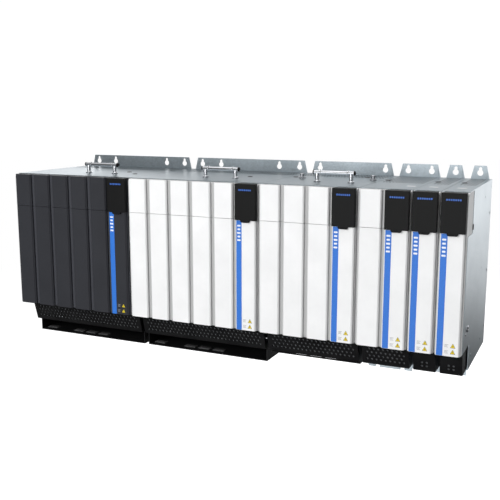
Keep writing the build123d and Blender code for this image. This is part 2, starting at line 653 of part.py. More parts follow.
def make_fan_rotor(m):
    """Hub cup with tilted blades, turning on the frame's axle."""
    hub_r = m.fan * FAN_HUB_SHARE
    low = SHEET + STRUT_HEIGHT + ROTOR_GAP_BELOW
    high = SHEET + FAN_THICKNESS - ROTOR_GAP_ABOVE
    tip_r = m.fan / 2 - FAN_WALL - BLADE_TIP_GAP
    span = tip_r - hub_r + BLADE_ROOT
    height = high - low
    rotor = rod_z(m.fan_x, m.fan_y, low, high, hub_r)
    blade = Rot(90 - BLADE_TILT, 0, 0) * Box(span, height / cos(radians(BLADE_TILT)), BLADE_THICKNESS)
    ring = []
    for i in range(BLADES):
        angle = 360 * i / BLADES
        reach = hub_r - BLADE_ROOT + span / 2
        x = m.fan_x + reach * cos(radians(angle))
        y = m.fan_y + reach * sin(radians(angle))
        ring.append(Pos(x, y, (low + high) / 2) * Rot(0, 0, angle) * blade)
    envelope = rod_z(m.fan_x, m.fan_y, low, high, tip_r)
    blades = ring[0]
    for other in ring[1:]:
        blades += other
    rotor += blades & envelope
    bore_top = SHEET + FAN_THICKNESS - AXLE_SHORT + AXLE_END_GAP
    return rotor - rod_z(m.fan_x, m.fan_y, 0, bore_top, AXLE_R + AXLE_CLEARANCE)


def make_heat_sink(m):
    """Finned block against the back plate, with its base towards the front."""
    left = m.body_left + SHEET + SINK_SIDE_GAP
    right = m.body_right - SHEET - SINK_SIDE_GAP
    sink = block(left, right, m.sink_front - SINK_BASE, m.sink_front, SINK_BOTTOM, SINK_TOP)
    count = int((right - left - FIN_THICKNESS) / FIN_PITCH) + 1
    pitch = (right - left - FIN_THICKNESS) / (count - 1)
    for i in range(count):
        x = left + i * pitch
        sink += block(x, x + FIN_THICKNESS, m.sink_front - PAST, -SHEET, SINK_BOTTOM, SINK_TOP)
    return sink


def make_board(m):
    """Circuit board on its tabs, with a row of connector blocks at its lower edge."""
    left = m.body_left + SHEET + BOARD_SIDE_GAP
    right = m.body_right - SHEET - BOARD_SIDE_GAP
    board = block(left, right, BOARD_Y, BOARD_Y + BOARD_THICKNESS, BOARD_BOTTOM, BOARD_TOP)
    for i in range(m.columns):
        x = m.left + i * COLUMN + COLUMN / 2
        plug_z = BOARD_BOTTOM + PLUG_UP
        socket_z = BOARD_TOP - SOCKET_DROP
        board += block(x - PLUG_WIDTH / 2, x + PLUG_WIDTH / 2, BOARD_Y - PLUG_DEPTH, BOARD_Y,
                       plug_z, plug_z + PLUG_HEIGHT)
        board += block(x - SOCKET_WIDTH / 2, x + SOCKET_WIDTH / 2, BOARD_Y - SOCKET_DEPTH, BOARD_Y,
                       socket_z - SOCKET_HEIGHT, socket_z)
    return board


def make_capacitors(modules):
    """Bus capacitors standing out from the boards."""
    cans = []
    for m in modules:
        for i in range(m.columns):
            x = m.left + i * COLUMN + COLUMN / 2
            for row in range(CAPACITOR_ROWS):
                z = BOARD_BOTTOM + CAPACITOR_FIRST_UP + row * CAPACITOR_PITCH
                cans.append(rod_y(x, BOARD_Y - CAPACITOR_LENGTH, BOARD_Y, z, CAPACITOR_R))
    return Compound(children=cans)


def make_power_blocks(modules):
    """Power switch blocks clamped to the front of the heat sinks."""
    blocks = []
    for m in modules:
        for i in range(m.columns):
            x0 = m.left + i * COLUMN + MODULE_BLOCK_SIDE
            x1 = m.left + (i + 1) * COLUMN - MODULE_BLOCK_SIDE
            front = m.sink_front - SINK_BASE
            blocks.append(block(x0, x1, front - MODULE_BLOCK_DEPTH, front, MODULE_BLOCK_BOTTOM,
                                MODULE_BLOCK_BOTTOM + MODULE_BLOCK_HEIGHT))
    return Compound(children=blocks)


def make_bus_bars(modules):
    """The plus and minus bars that run through all the modules."""
    left = modules[0].front_left + HINGE_WALL + BUS_BAR_END_GAP
    right = modules[-1].front_right - HINGE_WALL - BUS_BAR_END_GAP
    y = FACE_Y + BUS_BAR_BACK
    half = BUS_BAR_HEIGHT / 2
    bars = [block(left, right, y, y + BUS_BAR_THICKNESS, z - half, z + half) for z in BUS_BAR_HEIGHTS]
    return Compound(children=bars)


def make_standoffs(modules):
    """Insulating posts that hold the bus bars off the back of the compartments."""
    front = FACE_Y + BUS_BAR_BACK + BUS_BAR_THICKNESS
    back = BACK_WALL_Y - WALL
    posts = []
    for m in modules:
        for x in {m.left + COLUMN / 2, m.right - COLUMN / 2}:
            posts += [rod_y(x, front, back, z, STANDOFF_R) for z in BUS_BAR_HEIGHTS]
    return Compound(children=posts)


def make_fasteners(modules):
    """Pan heads that clamp the bus bars, and the studs on the top of the 200 mm module."""
    y = FACE_Y + BUS_BAR_BACK
    pieces = []
    for m in modules:
        for x in {m.left + COLUMN / 2, m.right - COLUMN / 2}:
            pieces += [rod_y(x, y - SCREW_HEAD_HEIGHT, y, z, SCREW_HEAD_R) for z in BUS_BAR_HEIGHTS]
        if m.columns == STUD_COLUMNS:
            xs = (m.left + STUD_FROM_SIDE[0], m.right - STUD_FROM_SIDE[1])
            for x, back in zip(xs, STUD_BACK):
                pieces.append(rod_z(x, FACE_Y + back, BODY_HEIGHT, BODY_HEIGHT + STUD_HEIGHT, STUD_R))
    return Compound(children=pieces)


def main():
    os.makedirs("parts", exist_ok=True)
    modules = make_modules()
    for m in modules:
        write(f"chassis_{m.number}", make_chassis(m))
        write(f"front_housing_{m.number}", make_front_housing(m))
        write(f"keypad_cover_{m.number}", make_keypad_cover(m))
        if m.has_bus_door:
            write(f"bus_cover_{m.number}", make_bus_cover(m))
        write(f"bottom_guard_{m.number}", make_bottom_guard(m))
        write(f"heat_sink_{m.number}", make_heat_sink(m))
        write(f"fan_frame_{m.number}", make_fan_frame(m))
        write(f"fan_rotor_{m.number}", make_fan_rotor(m))
        write(f"control_board_{m.number}", make_board(m))
        if m.columns >= TRAY_MIN_COLUMNS:
            write(f"cable_tray_{m.number}", make_cable_tray(m))
    handles = [make_handle(m) for m in modules if m.columns >= HANDLE_MIN_COLUMNS]
    write("lifting_handles", Compound(children=handles))
    write("bus_bars", make_bus_bars(modules))
    write("bus_standoffs", make_standoffs(modules))
    write("screws_and_studs", make_fasteners(modules))
    write("bus_capacitors", make_capacitors(modules))
    write("power_blocks", make_power_blocks(modules))


main()
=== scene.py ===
import json
import math

import bmesh
import bpy
from mathutils import Euler, Matrix, Vector


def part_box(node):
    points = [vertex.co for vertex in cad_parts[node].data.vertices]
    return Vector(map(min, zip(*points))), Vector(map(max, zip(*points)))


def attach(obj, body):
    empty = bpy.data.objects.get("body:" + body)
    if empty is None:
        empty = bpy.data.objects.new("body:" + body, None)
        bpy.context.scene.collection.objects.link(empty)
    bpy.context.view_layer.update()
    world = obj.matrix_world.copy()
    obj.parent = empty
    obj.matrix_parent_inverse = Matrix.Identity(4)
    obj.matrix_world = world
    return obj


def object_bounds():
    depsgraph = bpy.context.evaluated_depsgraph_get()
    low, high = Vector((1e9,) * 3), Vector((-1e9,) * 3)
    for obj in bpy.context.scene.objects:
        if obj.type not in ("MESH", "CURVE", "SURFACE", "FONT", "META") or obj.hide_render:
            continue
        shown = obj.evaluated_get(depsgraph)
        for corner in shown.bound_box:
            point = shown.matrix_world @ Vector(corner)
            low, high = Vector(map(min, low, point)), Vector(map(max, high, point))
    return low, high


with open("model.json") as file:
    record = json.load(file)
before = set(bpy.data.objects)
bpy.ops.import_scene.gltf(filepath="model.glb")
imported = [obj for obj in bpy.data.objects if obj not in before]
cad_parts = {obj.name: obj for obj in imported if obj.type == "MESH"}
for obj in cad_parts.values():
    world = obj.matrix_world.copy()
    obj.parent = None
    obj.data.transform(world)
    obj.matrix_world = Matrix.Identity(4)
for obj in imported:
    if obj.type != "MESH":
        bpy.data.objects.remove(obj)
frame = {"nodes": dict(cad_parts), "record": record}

# The looks of a line-up of servo drives, around the CAD frame: materials, rounded edges, printed
# marks, small fittings and the stage. Lengths are in metres, +X is right and the fronts face -Y.

CAD_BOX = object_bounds()
MM = 0.001
ROOT = "body"

# Sizes that the marks and fittings share with the CAD model
COLUMN = 50 * MM
BODY_GAP = 0.5 * MM  # from a chassis side to the edge of its module
FACE_Y = -296 * MM
KEYPAD_Y = -300 * MM
FRONT_BOTTOM = 52 * MM
SEAM = 277 * MM
BODY_TOP = 348 * MM

UP, DOWN, FORWARD = (0, 0, 1), (0, 0, -1), (0, -1, 0)
SHARP = math.radians(35)  # edges that turn more than this stay sharp, or are rounded


class Module:
    """Where one module stands."""

    def __init__(self, number):
        low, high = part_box(f"chassis_{number}")
        self.number = number
        self.left = low.x - BODY_GAP
        self.right = high.x + BODY_GAP
        self.width = self.right - self.left
        self.key_column = self.right - COLUMN
        self.middle = (self.left + self.right) / 2


MODULES = [Module(n) for n in range(1, 7)]


# ---------------------------------------------------------------- materials

BLACK, WHITE = (0, 0, 0), (1, 1, 1)
# The grooves between the front panels get painted shade on white plastic and painted light on dark plastic,
# fading out this far behind the panel faces.
GROOVE_SHADING_REACH = 12 * MM  # how far behind the panel faces the grooves' tint ends


def new_material(name):
    material = bpy.data.materials.new(name)
    material.use_nodes = True
    tree = material.node_tree
    shader = next(n for n in tree.nodes if n.type == "BSDF_PRINCIPLED")
    return material, tree, shader


def coordinates(tree, scale=(1, 1, 1)):
    """Object coordinates, stretched by scale."""
    source = tree.nodes.new("ShaderNodeTexCoord")
    mapping = tree.nodes.new("ShaderNodeMapping")
    mapping.inputs["Scale"].default_value = scale
    tree.links.new(source.outputs["Object"], mapping.inputs["Vector"])
    return mapping.outputs["Vector"]


def noise(tree, scale, detail=3, roughness=0.5, stretch=(1, 1, 1)):
    node = tree.nodes.new("ShaderNodeTexNoise")
    node.inputs["Scale"].default_value = scale
    node.inputs["Detail"].default_value = detail
    node.inputs["Roughness"].default_value = roughness
    tree.links.new(coordinates(tree, stretch), node.inputs["Vector"])
    return node.outputs["Fac"]


def cells(tree, scale):
    """A grey value that is the same all over each cell of a Voronoi pattern."""
    node = tree.nodes.new("ShaderNodeTexVoronoi")
    node.inputs["Scale"].default_value = scale
    tree.links.new(coordinates(tree), node.inputs["Vector"])
    split = tree.nodes.new("ShaderNodeSeparateColor")
    tree.links.new(node.outputs["Color"], split.inputs["Color"])
    return split.outputs["Red"]


def ramp(tree, factor, stops):
    """A colour ramp over factor, from (place, colour) stops."""
    node = tree.nodes.new("ShaderNodeValToRGB")
    band = node.color_ramp
    while len(band.elements) < len(stops):
        band.elements.new(0.5)
    for element, (place, colour) in zip(band.elements, stops):
        element.position = place
        element.color = (*colour, 1)
    tree.links.new(factor, node.inputs["Fac"])
    return node.outputs["Color"]


def spread(tree, factor, low, high):
    """factor, from 0 to 1, mapped to low to high."""
    node = tree.nodes.new("ShaderNodeMapRange")
    node.inputs["To Min"].default_value = low
    node.inputs["To Max"].default_value = high
    tree.links.new(factor, node.inputs["Value"])
    return node.outputs["Result"]


def blend_colours(tree, factor, first, second):
    """first changed to the plain colour second, as far as factor says."""
    node = tree.nodes.new("ShaderNodeMix")
    node.data_type = "RGBA"
    tree.links.new(factor, node.inputs["Factor"])
    tree.links.new(first, node.inputs["A"])
    node.inputs["B"].default_value = (*second, 1)
    return node.outputs["Result"]


def mean_value(tree, first, second):
    """The mean of two grey values."""
    half = tree.nodes.new("ShaderNodeMath")
    half.operation = "MULTIPLY"
    half.inputs[1].default_value = 0.5
    tree.links.new(second, half.inputs[0])
    mean = tree.nodes.new("ShaderNodeMath")
    mean.operation = "MULTIPLY_ADD"
    mean.inputs[1].default_value = 0.5
    tree.links.new(first, mean.inputs[0])
    tree.links.new(half.outputs[0], mean.inputs[2])
    return mean.outputs[0]


def bump(tree, shader, height, strength, distance, below=None):
    node = tree.nodes.new("ShaderNodeBump")
    node.inputs["Strength"].default_value = strength
    node.inputs["Distance"].default_value = distance
    tree.links.new(height, node.inputs["Height"])
    if below is not None:
        tree.links.new(below, node.inputs["Normal"])
    tree.links.new(node.outputs["Normal"], shader.inputs["Normal"])
    return node.outputs["Normal"]


def shade(colour, factor):
    return tuple(min(1, c * factor) for c in colour)


def moulded_plastic(name, colour, rough=(0.42, 0.52), grain=0.10, vary=0.04, specular=0.5,
                    painted_groove_shading=None):
    """Spark-eroded moulding: a fine even grain, with faint flow marks and handling haze.

    painted_groove_shading is the factor on the colour in the grooves between the front panels: below 1 it
    paints shade there, above 1 it paints light."""
    material, tree, shader = new_material(name)
    haze = noise(tree, 14, 4, 0.6)
    flow = noise(tree, 60, 2, 0.5, (1, 1, 0.12))
    base = ramp(tree, haze, [(0.3, shade(colour, 1 - vary)), (0.7, shade(colour, 1 + vary))])
    base = blend_colours(tree, spread(tree, flow, 0, vary), base, shade(colour, 0.7))
    # Painted shade and light in the grooves: the colour changes with depth behind the panel faces, in place
    # of the shade or light that falls on the groove walls.
    if painted_groove_shading is not None:
        split = tree.nodes.new("ShaderNodeSeparateXYZ")
        tree.links.new(coordinates(tree), split.inputs[0])
        depth = tree.nodes.new("ShaderNodeMapRange")
        depth.inputs["From Min"].default_value = FACE_Y
        depth.inputs["From Max"].default_value = FACE_Y + GROOVE_SHADING_REACH
        tree.links.new(split.outputs["Y"], depth.inputs["Value"])
        stops = [(0.03, BLACK), (0.42, WHITE), (0.56, WHITE), (0.75, BLACK)]
        groove_shading_mask = ramp(tree, depth.outputs["Result"], stops)
        base = blend_colours(tree, groove_shading_mask, base, shade(colour, painted_groove_shading))
    tree.links.new(base, shader.inputs["Base Color"])
    tree.links.new(spread(tree, haze, *rough), shader.inputs["Roughness"])
    shader.inputs["Specular IOR Level"].default_value = specular
    grit = noise(tree, 2600, 2, 0.6)
    bump(tree, shader, grit, grain, 0.0001, bump(tree, shader, flow, 0.03, 0.0004))
    return material


def galvanised(name, dark=(0.34, 0.385, 0.415), light=(0.55, 0.61, 0.645), rough=(0.26, 0.40),
               metallic=0.92):
    """Hot-dip zinc sheet: small crystal spangle, rolling lines and grey oxide clouds."""
    material, tree, shader = new_material(name)
    spangle = cells(tree, 240)
    fine = cells(tree, 620)
    cloud = noise(tree, 9, 5, 0.62)
    rolled = noise(tree, 40, 3, 0.6, (1, 1, 22))
    middle = tuple((a + b) / 2 for a, b in zip(dark, light))
    base = ramp(tree, spangle, [(0.0, shade(middle, 0.88)), (1.0, shade(middle, 1.1))])
    base = blend_colours(tree, spread(tree, fine, 0.0, 0.35), base, shade(light, 1.08))
    base = blend_colours(tree, spread(tree, cloud, 0.0, 0.45), base, shade(dark, 0.9))
    tree.links.new(base, shader.inputs["Base Color"])
    shader.inputs["Metallic"].default_value = metallic
    tree.links.new(spread(tree, mean_value(tree, spangle, cloud), *rough), shader.inputs["Roughness"])
    below = bump(tree, shader, spangle, 0.06, 0.0002)
    bump(tree, shader, rolled, 0.05, 0.0003, below)
    return material


def powder_coat(name, colour, rough=(0.34, 0.5), specular=0.22):
    """Black powder coat with orange peel and a little dust."""
    material, tree, shader = new_material(name)
    peel = noise(tree, 900, 2, 0.5)
    dust = noise(tree, 22, 5, 0.65)
    base = ramp(tree, dust, [(0.35, colour), (0.8, tuple(c + 0.008 for c in colour))])
    tree.links.new(base, shader.inputs["Base Color"])
    tree.links.new(spread(tree, dust, *rough), shader.inputs["Roughness"])
    shader.inputs["Specular IOR Level"].default_value = specular
    bump(tree, shader, peel, 0.22, 0.0002)
    return material


def polished_metal(name, colour, rough=(0.06, 0.16)):
    """Bright plating with faint rubbing marks."""
    material, tree, shader = new_material(name)
    smear = noise(tree, 50, 4, 0.6)
    scratch = noise(tree, 500, 2, 0.5, (0.05, 1, 1))
    base = ramp(tree, smear, [(0.3, shade(colour, 0.9)), (0.7, colour)])
    tree.links.new(base, shader.inputs["Base Color"])
    shader.inputs["Metallic"].default_value = 1.0
    tree.links.new(spread(tree, smear, *rough), shader.inputs["Roughness"])
    bump(tree, shader, scratch, 0.03, 0.0001)
    return material


def drawn_metal(name, colour, stretch, rough=(0.3, 0.45), tone=0.16):
    """Extruded or rolled metal with lines along one direction."""
    material, tree, shader = new_material(name)
    lines = noise(tree, 700, 3, 0.7, stretch)
    cloud = noise(tree, 30, 4, 0.6)
    base = ramp(tree, lines, [(0.25, shade(colour, 1 - tone)), (0.75, shade(colour, 1 + tone / 2))])
    base = blend_colours(tree, spread(tree, cloud, 0, 0.3), base, shade(colour, 0.8))
    tree.links.new(base, shader.inputs["Base Color"])
    shader.inputs["Metallic"].default_value = 1.0
    tree.links.new(spread(tree, cloud, *rough), shader.inputs["Roughness"])
    bump(tree, shader, lines, 0.08, 0.0001)
    return material


def circuit_board(name):
    """Green solder mask in two shades, with darker gaps between them and bare pads."""
    material, tree, shader = new_material(name)
    tracks = tree.nodes.new("ShaderNodeTexBrick")
    tracks.inputs["Scale"].default_value = 150
    tracks.inputs["Mortar Size"].default_value = 0.035
    tracks.inputs["Color1"].default_value = (0.012, 0.115, 0.045, 1)
    tracks.inputs["Color2"].default_value = (0.016, 0.15, 0.06, 1)
    tracks.inputs["Mortar"].default_value = (0.004, 0.06, 0.022, 1)
    turned = tree.nodes.new("ShaderNodeVectorRotate")
    turned.rotation_type = "X_AXIS"
    turned.inputs["Angle"].default_value = math.pi / 2
    tree.links.new(coordinates(tree), turned.inputs["Vector"])
    tree.links.new(turned.outputs["Vector"], tracks.inputs["Vector"])
    pads = cells(tree, 420)
    is_pad = ramp(tree, pads, [(0.90, BLACK), (0.93, WHITE)])
    base = blend_colours(tree, is_pad, tracks.outputs["Color"], (0.62, 0.6, 0.52))
    tree.links.new(base, shader.inputs["Base Color"])
    tree.links.new(spread(tree, noise(tree, 60), 0.2, 0.35), shader.inputs["Roughness"])
    bump(tree, shader, tracks.outputs["Fac"], 0.15, 0.0001)
    return material


def printed_ink(name, colour, rough=(0.3, 0.42)):
    """Screen-printed film: an even colour with a slight mottle."""
    material, tree, shader = new_material(name)
    shader.inputs["Specular IOR Level"].default_value = 0.3
    mottle = noise(tree, 300, 3, 0.6)
    base = ramp(tree, mottle, [(0.3, shade(colour, 0.94)), (0.7, shade(colour, 1.05))])
    tree.links.new(base, shader.inputs["Base Color"])
    tree.links.new(spread(tree, mottle, *rough), shader.inputs["Roughness"])
    bump(tree, shader, noise(tree, 2400, 2, 0.5), 0.05, 0.0001)
    return material


MATERIALS = {
    "zinc_sheet": galvanised("zinc_sheet"),
    # white_plastic gets painted shade in its grooves (darker), grey_plastic painted light (lighter).
    "white_plastic": moulded_plastic("white_plastic", (0.84, 0.84, 0.84), painted_groove_shading=0.52),
    "grey_plastic": moulded_plastic(
        "grey_plastic", (0.030, 0.031, 0.036), (0.36, 0.46), 0.12, 0.06, 0.25, painted_groove_shading=1.7),
    "black_plastic": moulded_plastic(
        "black_plastic", (0.010, 0.010, 0.010), (0.38, 0.46), 0.10, 0.08, 0.12),
    "black_sheet": powder_coat("black_sheet", (0.007, 0.007, 0.0075)),
    "aluminium": drawn_metal("aluminium", (0.62, 0.63, 0.65), (1, 1, 0.03)),
    "fan_plastic": moulded_plastic("fan_plastic", (0.018, 0.018, 0.019), (0.3, 0.4), 0.08, 0.1),
    "circuit_board": circuit_board("circuit_board"),
    "chrome": polished_metal("chrome", (0.78, 0.79, 0.81)),
    "copper": drawn_metal("copper", (0.78, 0.46, 0.30), (0.03, 1, 1), (0.25, 0.4)),
    "insulator": moulded_plastic("insulator", (0.35, 0.045, 0.025), (0.3, 0.42), 0.06, 0.08),
    "steel": polished_metal("steel", (0.66, 0.67, 0.69), (0.18, 0.32)),
    "capacitor_sleeve": moulded_plastic(
        "capacitor_sleeve", (0.02, 0.03, 0.06), (0.16, 0.26), 0.02, 0.1),
    "power_block": moulded_plastic("power_block", (0.03, 0.03, 0.032), (0.45, 0.6), 0.2, 0.1),
}
BLUE_INK = printed_ink("blue_ink", (0.036, 0.17, 0.60))
WHITE_INK = printed_ink("white_ink", (0.80, 0.82, 0.86))
YELLOW_INK = printed_ink("yellow_ink", (0.80, 0.62, 0.02))
GREY_INK = printed_ink("grey_ink", (0.30, 0.30, 0.31))
DOOR_INK = printed_ink("door_blue_ink", (0.045, 0.13, 0.47))
DARK_INK = printed_ink("dark_ink", (0.03, 0.03, 0.03))
RUBBER = moulded_plastic("rubber", (0.085, 0.085, 0.087), (0.55, 0.7), 0.16, 0.1)
LINER = galvanised("mesh_liner", (0.11, 0.115, 0.12), (0.22, 0.23, 0.24), (0.4, 0.55), 0.3)


# ---------------------------------------------------------------- mesh helpers

def add_object(name, mesh, material, body=ROOT):
    """A new piece that rides on a body."""
    mesh.materials.append(material)
    piece = bpy.data.objects.new(name, mesh)
    bpy.context.scene.collection.objects.link(piece)
    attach(piece, body)
    return piece


def mesh_from(bm, name, smooth=False):
    """The mesh of bm, which this frees."""
    bmesh.ops.recalc_face_normals(bm, faces=bm.faces)
    mesh = bpy.data.meshes.new(name)
    bm.to_mesh(mesh)
    bm.free()
    for polygon in mesh.polygons:
        polygon.use_smooth = smooth
    if smooth:
        mesh.set_sharp_from_angle(angle=SHARP)
    return mesh


def slab(name, low, high, material, edge, segments=2):
    """A box between two corners with rounded edges."""
    bm = bmesh.new()
    bmesh.ops.create_cube(bm, size=1)
    size = Vector(high) - Vector(low)
    middle = (Vector(high) + Vector(low)) / 2
    placed = Matrix.Translation(middle) @ Matrix.Diagonal((*size, 1))
    bmesh.ops.transform(bm, matrix=placed, verts=bm.verts)
    edge = min(edge, min(size) * 0.45)
    bmesh.ops.bevel(bm, geom=bm.edges, offset=edge, segments=segments, profile=0.5, affect="EDGES")
    return add_object(name, mesh_from(bm, name, smooth=True), material)


def plate_y(name, outline, y_front, thickness, material, body=ROOT, edge=0.08 * MM):
    """A thin plate with an (x, z) outline, facing -Y."""
    bm = bmesh.new()
    face = bm.faces.new([bm.verts.new((x, y_front, z)) for x, z in outline])
    grown = bmesh.ops.extrude_face_region(bm, geom=[face])
    moved = [v for v in grown["geom"] if isinstance(v, bmesh.types.BMVert)]
    bmesh.ops.translate(bm, vec=(0, thickness, 0), verts=moved)
    bmesh.ops.bevel(bm, geom=bm.edges, offset=edge, segments=1, profile=0.5, affect="EDGES")
    return add_object(name, mesh_from(bm, name), material, body)


def rounded_outline(x0, x1, z0, z1, radius, steps=5):
    """A rounded rectangle as (x, z) points."""
    points = []
    left, right = x0 + radius, x1 - radius
    bottom, top = z0 + radius, z1 - radius
    for cx, cz, start in ((right, top, 0), (left, top, 90), (left, bottom, 180), (right, bottom, 270)):
        for i in range(steps + 1):
            turn = math.radians(start + 90 * i / steps)
            points.append((cx + radius * math.cos(turn), cz + radius * math.sin(turn)))
    return points


def lathe(name, profile, centre, axis, material, body=ROOT, steps=32):
    """A turned piece from (radius, height) points, about axis from centre."""
    bm = bmesh.new()
    rings = []
    for radius, height in profile:
        if radius == 0:
            rings.append([bm.verts.new((0, 0, height))])
            continue
        ring = []
        for i in range(steps):
            turn = 2 * math.pi * i / steps
            ring.append(bm.verts.new((radius * math.cos(turn), radius * math.sin(turn), height)))
        rings.append(ring)
    for lower, upper in zip(rings, rings[1:]):
        for i in range(steps):
            j = (i + 1) % steps
            below, above = len(lower), len(upper)
            ends = (lower[i % below], lower[j % below], upper[j % above], upper[i % above])
            corners = list(dict.fromkeys(ends))
            if len(corners) > 2:
                bm.faces.new(corners)
    turned = Vector(UP).rotation_difference(Vector(axis)).to_matrix().to_4x4()
    bmesh.ops.transform(bm, matrix=Matrix.Translation(Vector(centre)) @ turned, verts=bm.verts)
    return add_object(name, mesh_from(bm, name, smooth=True), material, body)


def pan_head(name, centre, axis, radius, height):
    """A pan-head screw with a round socket."""
    profile = [
        (0, height * 0.35), (radius * 0.36, height * 0.35), (radius * 0.42, height * 0.95),
        (radius * 0.62, height), (radius * 0.86, height * 0.82), (radius, height * 0.45), (radius, 0), (0, 0),
    ]
    return lathe(name, profile, centre, axis, MATERIALS["steel"], steps=24)


# ---------------------------------------------------------------- CAD nodes

# How far the edges of some nodes are rounded, by the start of the name
EDGES = {
    "front_housing": 0.5 * MM, "bus_cover": 0.5 * MM, "keypad_cover": 0.6 * MM, "chassis": 0.25 * MM,
    "cable_tray": 0.35 * MM, "power_blocks": 0.6 * MM, "bus_bars": 0.6 * MM,
}


def dress(node, material, edge):
    """Give a CAD node its material, and round its sharp edges."""
    piece = frame["nodes"][node]
    piece.data.materials.clear()
    piece.data.materials.append(material)
    if edge:
        flat = piece.modifiers.new("flat_faces", "DECIMATE")
        flat.decimate_type = "DISSOLVE"
        flat.angle_limit = math.radians(1)
        rounded = piece.modifiers.new("rounded_edges", "BEVEL")
        rounded.width = edge
        rounded.segments = 2
        rounded.limit_method = "ANGLE"
        rounded.angle_limit = SHARP
        rounded.harden_normals = True
        rounded.use_clamp_overlap = True


def dress_nodes():
    """Dress every CAD node by its material slot in the record."""
    slots = {row["node"]: row["material_slot"] for row in frame["record"]["subparts"]}
    for node, slot_name in slots.items():
        edge = next((size for start, size in EDGES.items() if node.startswith(start)), 0.0)
        dress(node, MATERIALS[slot_name], edge)


# ---------------------------------------------------------------- printed marks

STRIP_LEFT = 5.5 * MM  # from the left edge of the last column
STRIP_WIDTH = 11.5 * MM
FILM = 0.25 * MM
INK = 0.12 * MM
TRIANGLE_X = 34.9 * MM  # from the left edge of the last column
TRIANGLE_BASES = (FRONT_BOTTOM + 16 * MM, FRONT_BOTTOM + 4.5 * MM)
DOOR_INK_DEPTH = 0.14 * MM


def triangle(x, base, half_width, height):
    return [(x - half_width, base), (x + half_width, base), (x, base + height)]


def bar_outline(x, z, half_width, half_height, radius, steps):
    """A rounded bar around the point (x, z)."""
    return rounded_outline(x - half_width, x + half_width, z - half_height, z + half_height, radius, steps)


def print_marks(m):
    """The coloured strip of the last column with plain dashes, and two plain triangles with bars."""
    x0 = m.key_column + STRIP_LEFT
    x1 = x0 + STRIP_WIDTH
    outline = rounded_outline(x0, x1, FRONT_BOTTOM + 0.3 * MM, SEAM - 2.6 * MM, 0.3 * MM, 2)
    strip = plate_y(f"colour_strip_{m.number}", outline, FACE_Y - FILM, FILM, BLUE_INK)
    for i, length in enumerate((7.4, 6.2, 7.4, 6.2, 7.4)):
        z = SEAM - (13 + i * 7.2) * MM
        dash = bar_outline((x0 + x1) / 2, z, length * MM / 2, 1.7 * MM, 1.2 * MM, 5)
        plate_y(f"strip_dash_{m.number}_{i}", dash, FACE_Y - FILM - INK, INK, WHITE_INK)
    x = m.key_column + TRIANGLE_X
    for i, base in enumerate(TRIANGLE_BASES):
        rim = triangle(x, base, 4.65 * MM, 8.5 * MM)
        core = triangle(x, base + 0.6 * MM, 3.7 * MM, 6.8 * MM)
        stroke = bar_outline(x, base + 3.5 * MM, 0.45 * MM, 1.5 * MM, 0.3 * MM, 2)
        plate_y(f"mark_rim_{m.number}_{i}", rim, FACE_Y - INK, INK, DARK_INK)
        plate_y(f"mark_core_{m.number}_{i}", core, FACE_Y - 2 * INK, INK, YELLOW_INK)
        plate_y(f"mark_stroke_{m.number}_{i}", stroke, FACE_Y - 0.34 * MM, 0.10 * MM, DARK_INK)
        for j, length in enumerate((7, 5.5, 6.5)):
            half = length * MM / 2
            bar_x = m.key_column + 20 * MM + half
            bar = bar_outline(bar_x, base + (5.8 - j * 2.2) * MM, half, 0.35 * MM, 0.25 * MM, 2)
            plate_y(f"mark_bar_{m.number}_{i}_{j}", bar, FACE_Y - INK, INK, GREY_INK)


def keypad_mark(m):
    """A plain row of short bars near the top of the black door."""
    middle = m.key_column + 25.4 * MM
    for i in range(7):
        x = middle + (i - 3) * 3.9 * MM
        bar = bar_outline(x, BODY_TOP - 13 * MM, 1.45 * MM, 1.6 * MM, 0.5 * MM, 3)
        plate_y(f"door_mark_{m.number}_{i}", bar, KEYPAD_Y - DOOR_INK_DEPTH, DOOR_INK_DEPTH, DOOR_INK,
                f"keypad_door_{m.number}")


# ---------------------------------------------------------------- fittings

GUARD_TOP_BACK = 40 * MM
GUARD_LEAN = 14 / 52
LINER_DEPTH = 2.7 * MM
LINER_SHEET = 0.8 * MM
TRAY_SLOT_STARTS = (14, 90, 125, 160)  # millimetres from the left of the module
TRAY_SLOT_WIDTH = 24 * MM
# The rubber pads in the tray slots are painted shade: dark pieces where the slots would show only shade.
TRAY_SHADE_PAD_Y = -216 * MM
TRAY_FLOOR = -28 * MM
SHADE_PAD_LIP = 1.2 * MM
HANDLE_SHIFT = 25 * MM  # from the middle of the module
HANDLE_Y = -204 * MM
GRIP_Z = BODY_TOP + 19 * MM
POST_OFFSET = 35 * MM
LEDGE_BACK_Y = -206.6 * MM
CAPACITOR_MARGIN = 15 * MM
CAPACITOR_PITCH = 38 * MM


def millimetres(*points):
    """A (radius, height) profile from points in millimetres."""
    return [(radius * MM, height * MM) for radius, height in points]


def guard_face(z):
    """The y of a guard's sloping front at height z."""
    return FACE_Y + GUARD_TOP_BACK + GUARD_LEAN * (FRONT_BOTTOM - z)


def guard_liner(m):
    """Fine zinc mesh just behind a guard's holes."""
    bm = bmesh.new()
    corners = []
    for x in (m.left + 7 * MM, m.right - 7 * MM):
        for z in (4 * MM, 49 * MM):
            for y in (0, LINER_SHEET):
                corners.append(bm.verts.new((x, guard_face(z) + LINER_DEPTH + y, z)))
    bmesh.ops.convex_hull(bm, input=corners)
    liner = add_object(f"guard_liner_{m.number}", mesh_from(bm, "guard_liner"), LINER)


